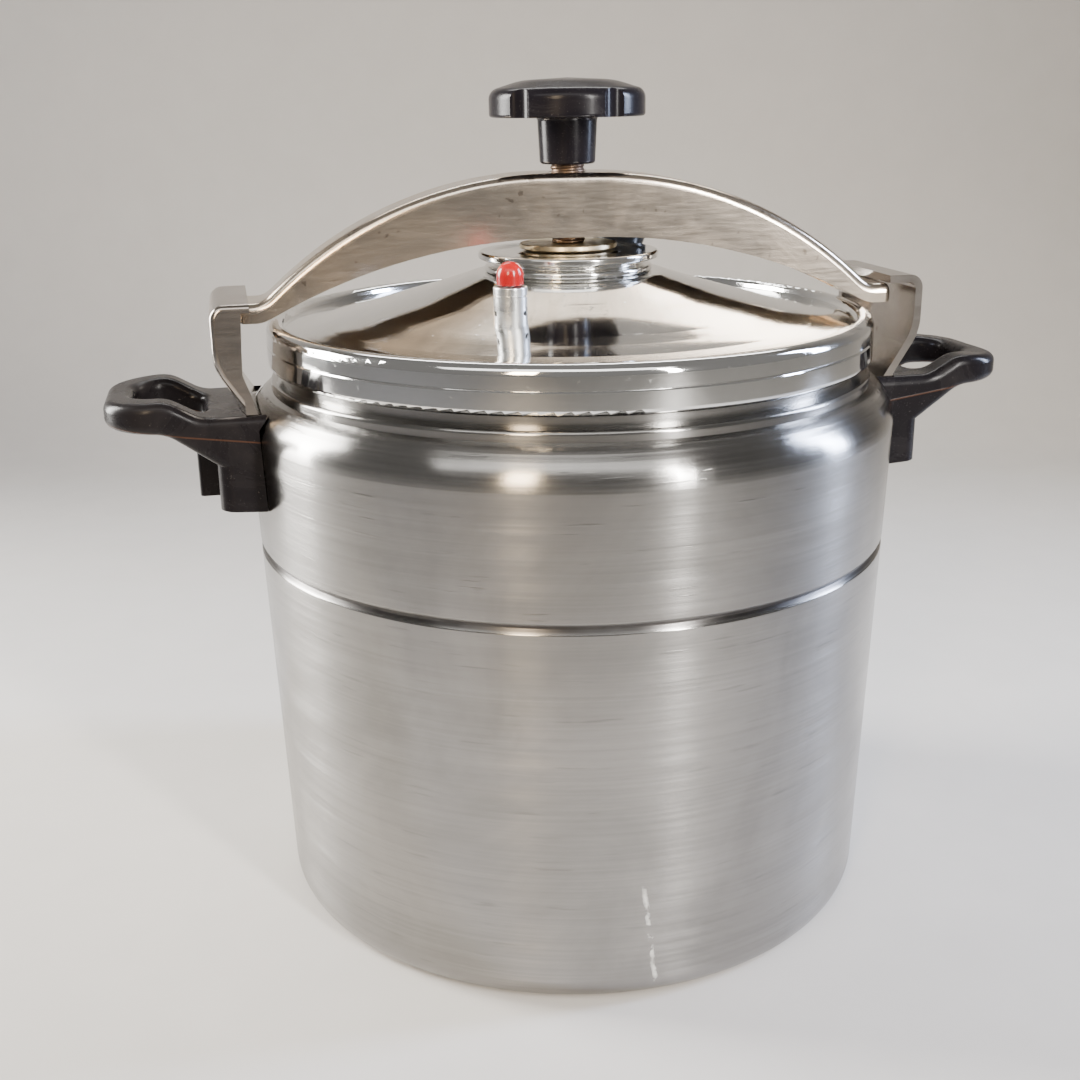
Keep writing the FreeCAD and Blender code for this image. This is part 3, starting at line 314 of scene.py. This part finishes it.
def cap_red(name):
    """Glossy red cap with painted light on its crown: the red grows lighter towards the top."""
    paint = Paint(name, (0.56, 0.02, 0.015), 0.0, 0.18)
    split = paint.node("ShaderNodeSeparateXYZ")
    paint.link(paint.place, split.inputs[0])
    lit_crown = paint.ramp(split.outputs[2], CROWN_LOW, CROWN_HIGH)
    mottled = paint.noise(paint.place, 380.0, 4.0, 0.6)
    # Painted light: darker red low on the cap, lighter red up on the crown.
    base = paint.blend(lit_crown, (0.30, 0.006, 0.008), (0.48, 0.012, 0.012))
    paint.color(paint.blend(paint.ramp(mottled, 0.45, 0.75, 0.0, 0.35), base, (0.24, 0.005, 0.006)))
    paint.rough(paint.ramp(mottled, 0.35, 0.7, 0.14, 0.32))
    paint.bump(mottled, 0.00004, 0.4)
    paint.shader.inputs["Specular IOR Level"].default_value = 0.35
    paint.shader.inputs["Coat Weight"].default_value = 0.15
    paint.shader.inputs["Coat Roughness"].default_value = 0.1
    return paint


def lathe_metal(name, color, rough, middle, stain=(0.3, 0.28, 0.25), amount=0.35):
    """Small metal part: fine rings about the upright axis through middle, with cloudy stains."""
    paint = Paint(name, color, 1.0, rough)
    ring = paint.around(middle[0], middle[1])
    rings = paint.noise(paint.scaled((0.6, 3600.0, 3600.0), ring), 1.0, 3.0, 0.6)
    cloud = paint.noise(paint.place, 110.0, 4.0, 0.6, distortion=0.8)
    base = paint.blend(paint.ramp(cloud, 0.42, 0.7, 0.0, amount), color, stain)
    groove = tuple(0.6 * part for part in color)
    paint.color(paint.blend(paint.ramp(rings, 0.4, 0.7, 0.0, 0.3), base, groove))
    paint.rough(paint.ramp(cloud, 0.35, 0.7, rough, rough + 0.16))
    paint.bump(rings, 0.00004, 0.7)
    return paint


LINE_HEIGHT = 148.8 * MM

# The drip's bearing and wobble are in radians, its lean in radians per metre of height.
DRIP_BEARING = math.radians(-91.1)
DRIP_LOW = 10 * MM
DRIP_HIGH = 52 * MM
DRIP_PIVOT = 32 * MM
DRIP_LEAN = -1.06
DRIP_WOBBLE = 0.03


def add_line_painted_shade(paint):
    """Painted shade in the pressed line around the pot: a dark band, also made duller."""
    split = paint.node("ShaderNodeSeparateXYZ")
    paint.link(paint.place, split.inputs[0])
    off = paint.math("ABSOLUTE", paint.math("SUBTRACT", split.outputs[2], LINE_HEIGHT))
    uneven = paint.noise(paint.place, 60.0, 3.0, 0.6)
    inside = paint.ramp(off, 0.9 * MM, 2.1 * MM, 1.0, 0.0)
    mask = paint.math("MULTIPLY", inside, paint.ramp(uneven, 0.25, 0.6, 0.7, 1.0))
    before = paint.shader.inputs["Base Color"].links[0].from_socket
    # Painted shade: the colour is darkened towards dark grey along the pressed line.
    paint.color(paint.blend(mask, before, (0.085, 0.08, 0.078)))
    rough = paint.shader.inputs["Roughness"].links[0].from_socket
    paint.rough(paint.math("ADD", rough, paint.math("MULTIPLY", mask, 0.16)))


def add_drip(paint):
    """Dried water drip near the bottom of the pot's front: a pale, broken, nearly upright streak."""
    split = paint.node("ShaderNodeSeparateXYZ")
    paint.link(paint.around(), split.inputs[0])
    wobble = paint.noise(paint.scaled((0.0, 0.0, 90.0), paint.around()), 1.0, 3.0, 0.6)
    swing = paint.math("MULTIPLY", wobble, DRIP_WOBBLE)
    middle = paint.math("ADD", swing, DRIP_BEARING - DRIP_WOBBLE / 2)
    rise = paint.math("SUBTRACT", split.outputs[2], DRIP_PIVOT)
    middle = paint.math("ADD", middle, paint.math("MULTIPLY", rise, DRIP_LEAN))
    off = paint.math("ABSOLUTE", paint.math("SUBTRACT", split.outputs[0], middle))
    edge = paint.ramp(off, 0.002, 0.010, 1.0, 0.0)
    above = paint.ramp(split.outputs[2], DRIP_LOW - 4 * MM, DRIP_LOW + 2 * MM)
    below = paint.ramp(split.outputs[2], DRIP_HIGH - 8 * MM, DRIP_HIGH, 1.0, 0.0)
    broken = paint.ramp(paint.noise(paint.place, 240.0, 4.0, 0.65), 0.42, 0.6)
    streak = paint.math("MULTIPLY", edge, broken)
    mask = paint.math("MULTIPLY", streak, paint.math("MULTIPLY", above, below))
    before = paint.shader.inputs["Base Color"].links[0].from_socket
    paint.color(paint.blend(paint.math("MULTIPLY", mask, 0.45), before, (0.86, 0.86, 0.83)))
    rough = paint.shader.inputs["Roughness"].links[0].from_socket
    paint.rough(paint.math("ADD", rough, paint.math("MULTIPLY", mask, 0.35)))
    bare = paint.math("SUBTRACT", 1.0, paint.math("MULTIPLY", mask, 0.5))
    paint.link(bare, paint.shader.inputs["Metallic"])


# ---------------------------------------------------------------- looks of the CAD nodes
def dress(paint, nodes):
    """Give every listed CAD node this material."""
    for name in nodes:
        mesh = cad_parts[name].data
        mesh.materials.clear()
        mesh.materials.append(paint.material)


def middle_of(node):
    low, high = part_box(node)
    return (low + high) / 2


def dress_nodes():
    """One material for each kind of surface."""
    pot = turned_metal("pot_metal", (0.38, 0.37, 0.355), 0.15, 900.0, 0.00005, 0.92, 0.08, 0.80)
    # Painted shade in the pressed line, then a dried drip.
    add_line_painted_shade(pot)
    add_drip(pot)
    dress(pot, ["pot_body"])
    dress(mirror_metal("lid_metal", (0.84, 0.84, 0.83), 0.06), ["lid"])
    dress(mirror_metal("boss_metal", (0.80, 0.79, 0.76), 0.12, 0.4), ["lid_boss"])
    dress(sheet_steel("bridge_steel", (0.66, 0.58, 0.49), 0.14, (0.56, 0.455, 0.35), 0.66), ["bridge"])
    ear = sheet_steel("ear_steel", (0.40, 0.37, 0.34), 0.14, (0.34, 0.29, 0.25), 0.68)
    dress(ear, ["left_ear", "right_ear"])
    knob = moulded_resin("black_knob", (0.007, 0.006, 0.008), 0.2)
    dress(knob, ["knob"])
    # Handles: black resin with a painted highlight along the mould parting line.
    handle = with_parting_line_highlight(moulded_resin("black_handle", (0.007, 0.006, 0.007), 0.22))
    dress(handle, ["left_handle", "right_handle"])
    dress(moulded_resin("black_weight", (0.014, 0.014, 0.014), 0.2), ["weight_cap"])
    dress(cap_red("red_cap"), ["safety_valve_cap"])
    valve = middle_of("safety_valve_body")
    dress(lathe_metal("valve_metal", (0.72, 0.72, 0.71), 0.24, valve), ["safety_valve_body", "vent_pipe"])
    foot = lathe_metal("foot_brass", (0.58, 0.49, 0.33), 0.28, (0, 0), (0.22, 0.15, 0.08), 0.7)
    dress(foot, ["pressure_foot"])
    dress(lathe_metal("insert_brass", (0.66, 0.55, 0.32), 0.25, (0, 0)), ["knob_insert"])
    rivet = lathe_metal("rivet_metal", (0.74, 0.74, 0.73), 0.3, (0, 0))
    dress(rivet, ["left_ear_rivets", "right_ear_rivets"])
    rubber = soft_rubber("seal_rubber")
    dress(rubber, ["lid_gasket", "safety_valve_seal", "safety_valve_washer", "vent_washer"])
    steel = lathe_metal("inner_steel", (0.56, 0.56, 0.55), 0.3, (0, 0))
    dress(steel, [
        "lid_boss_nut", "bridge_nut", "safety_valve_nut", "safety_valve_stem", "safety_valve_spring",
        "vent_nut", "weight_core", "left_handle_nut", "right_handle_nut",
        "left_handle_screw", "right_handle_screw",
    ])


# ---------------------------------------------------------------- threaded spindle
THREAD_PITCH = 2.0 * MM
THREAD_DEPTH = 0.62 * MM
THREAD_RADIUS = 6.65 * MM
JOURNAL_RADIUS = 4.0 * MM
TIP_RADIUS = 5.2 * MM
TAIL_RADIUS = 6.0 * MM
TAIL_LENGTH = 14.8 * MM
CHAMFER = 0.6 * MM
AROUND = 72
RINGS_A_TURN = 8


def spindle_profile(low, high):
    """Outline of the spindle from its tip up, as (height, radius, threaded)."""
    tip = [
        (0.0, TIP_RADIUS - CHAMFER),
        (0.4 * MM, TIP_RADIUS),
        (1.15 * MM, TIP_RADIUS),
        (1.2 * MM, JOURNAL_RADIUS),
        (3.95 * MM, JOURNAL_RADIUS),
        (4.0 * MM, THREAD_RADIUS - CHAMFER),
    ]
    rows = [(low.z + up, radius, False) for up, radius in tip]
    start = low.z + 4.7 * MM
    end = high.z - TAIL_LENGTH
    steps = int((end - start) / (THREAD_PITCH / RINGS_A_TURN))
    for step in range(steps + 1):
        rows.append((start + (end - start) * step / steps, THREAD_RADIUS, True))
    rows += [(end + 0.7 * MM, TAIL_RADIUS, False), (high.z, TAIL_RADIUS, False)]
    return rows


def thread_cut(height, turn):
    """Depth of the right-hand thread at a height and bearing."""
    phase = (height / THREAD_PITCH - turn / (2 * math.pi)) % 1.0
    return THREAD_DEPTH * max(0.0, min(1.0, 1.25 * (1 - abs(2 * phase - 1)) - 0.12))


def linked(name, mesh):
    """Object in the scene made from a finished bmesh."""
    data = bpy.data.meshes.new(name)
    mesh.to_mesh(data)
    mesh.free()
    made = bpy.data.objects.new(name, data)
    bpy.context.scene.collection.objects.link(made)
    return made


def make_threaded_spindle():
    """Spindle with a cut right-hand thread, inside the plain CAD bar."""
    low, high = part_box("spindle")
    rows = spindle_profile(low, high)
    mesh = bmesh.new()
    rings = []
    for height, radius, threaded in rows:
        ring = []
        for step in range(AROUND):
            turn = 2 * math.pi * step / AROUND
            reach = radius - thread_cut(height, turn) if threaded else radius
            ring.append(mesh.verts.new((reach * math.cos(turn), reach * math.sin(turn), height)))
        rings.append(ring)
    for below, above in zip(rings, rings[1:]):
        for step in range(AROUND):
            after = (step + 1) % AROUND
            mesh.faces.new((below[step], below[after], above[after], above[step]))
    mesh.faces.new(list(reversed(rings[0])))
    mesh.faces.new(rings[-1])
    piece = linked("threaded_spindle", mesh)
    for face in piece.data.polygons:
        face.use_smooth = len(face.vertices) == 4
    paint = lathe_metal("spindle_steel", (0.20, 0.14, 0.10), 0.34, (0, 0), (0.06, 0.04, 0.03), 0.8)
    piece.data.materials.append(paint.material)
    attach(piece, "screw")
    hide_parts("spindle")


# ---------------------------------------------------------------- stage and light
def plain_material(name, color, rough, grain):
    """Plain pale surface with a barely visible grain."""
    paint = Paint(name, color, 0.0, rough)
    mottle = paint.noise(paint.place, grain, 4.0, 0.6)
    duller = tuple(0.965 * part for part in color)
    paint.color(paint.blend(paint.ramp(mottle, 0.35, 0.7), color, duller))
    paint.bump(mottle, 0.0003, 0.15)
    return paint.material


FLOOR_REACH = 2.4
WALL_START = 0.62
WALL_BEND = 0.25
WALL_STEPS = 12
WALL_HEIGHT = 2.2


def make_stage():
    """Pale floor that curves up into a pale wall behind the object."""
    profile = [(-FLOOR_REACH, 0.0), (WALL_START, 0.0)]
    for step in range(1, WALL_STEPS + 1):
        lean = math.pi / 2 * step / WALL_STEPS
        away = WALL_START + WALL_BEND * math.sin(lean)
        profile.append((away, WALL_BEND - WALL_BEND * math.cos(lean)))
    profile.append((WALL_START + WALL_BEND, WALL_HEIGHT))
    mesh = bmesh.new()
    turn = Matrix.Rotation(HEADING, 3, "Z")
    columns = []
    for across in (-FLOOR_REACH, FLOOR_REACH):
        column = [turn @ Vector((across, along, up)) for along, up in profile]
        columns.append([mesh.verts.new(point) for point in column])
    for left, right in zip(zip(columns[0], columns[0][1:]), zip(columns[1], columns[1][1:])):
        mesh.faces.new((left[0], right[0], right[1], left[1]))
    floor = linked("stage_floor", mesh)
    for face in floor.data.polygons:
        face.use_smooth = True
    floor.data.materials.append(plain_material("stage_paper", (0.56, 0.54, 0.515), 0.7, 30.0))


def softbox(name, bearing, rise, distance, size, power, color, spread, aim=150 * MM, back=0.0):
    """Soft light on a bearing from the camera's side, positive to the picture's right.

    Bearing, rise and spread are in degrees, lengths in metres, power in watts. The light faces a
    point at height aim, moved back from the object's axis towards the wall."""
    turn = HEADING - math.pi / 2 + math.radians(bearing)
    lean = math.radians(rise)
    target = Vector((-back * math.sin(HEADING), back * math.cos(HEADING), aim))
    level = math.cos(lean)
    toward = Vector((math.cos(turn) * level, math.sin(turn) * level, math.sin(lean)))
    spot = target + distance * toward
    light = bpy.data.lights.new(name, "AREA")
    light.shape = "RECTANGLE"
    light.size, light.size_y = size
    light.spread = math.radians(spread)
    light.energy = power
    light.color = color
    lamp = bpy.data.objects.new(name, light)
    bpy.context.scene.collection.objects.link(lamp)
    facing = (target - spot).to_track_quat("-Z", "Y").to_matrix().to_4x4()
    lamp.matrix_world = Matrix.Translation(spot) @ facing


PLAIN_WHITE = (1.0, 0.99, 0.97)


def make_light():
    """Large box on the left, three narrow ones around the front and right, and two wide ones high up.

    top_box stands through the wall: about three tenths of it is in front, and only that part lights
    the object."""
    softbox("left_box", -103, 16, 1.15, (0.42, 0.9), 13, (1.0, 0.98, 0.94), spread=80)
    softbox("front_strip", 36, 20, 1.5, (0.11, 1.0), 5.0, (1.0, 0.97, 0.93), spread=60)
    softbox("warm_fill", -16, 22, 1.7, (0.24, 0.9), 2.6, (1.0, 0.78, 0.52), spread=60)
    softbox("right_fill", 98, 20, 1.3, (0.2, 0.9), 7, (0.62, 0.73, 1.0), spread=70)
    softbox("top_box", 180, 62, 1.2, (1.3, 0.6), 10, PLAIN_WHITE, 95, aim=20 * MM, back=420 * MM)
    softbox("front_top", -6, 50, 1.3, (1.7, 0.42), 5.5, PLAIN_WHITE, spread=150)
    world = bpy.data.worlds.new("room")
    bpy.context.scene.world = world
    world.use_nodes = True
    background = world.node_tree.nodes["Background"]
    background.inputs["Color"].default_value = (0.51, 0.495, 0.475, 1.0)
    background.inputs["Strength"].default_value = 0.45


make_camera()
make_stage()
make_light()
dress_nodes()
make_threaded_spindle()
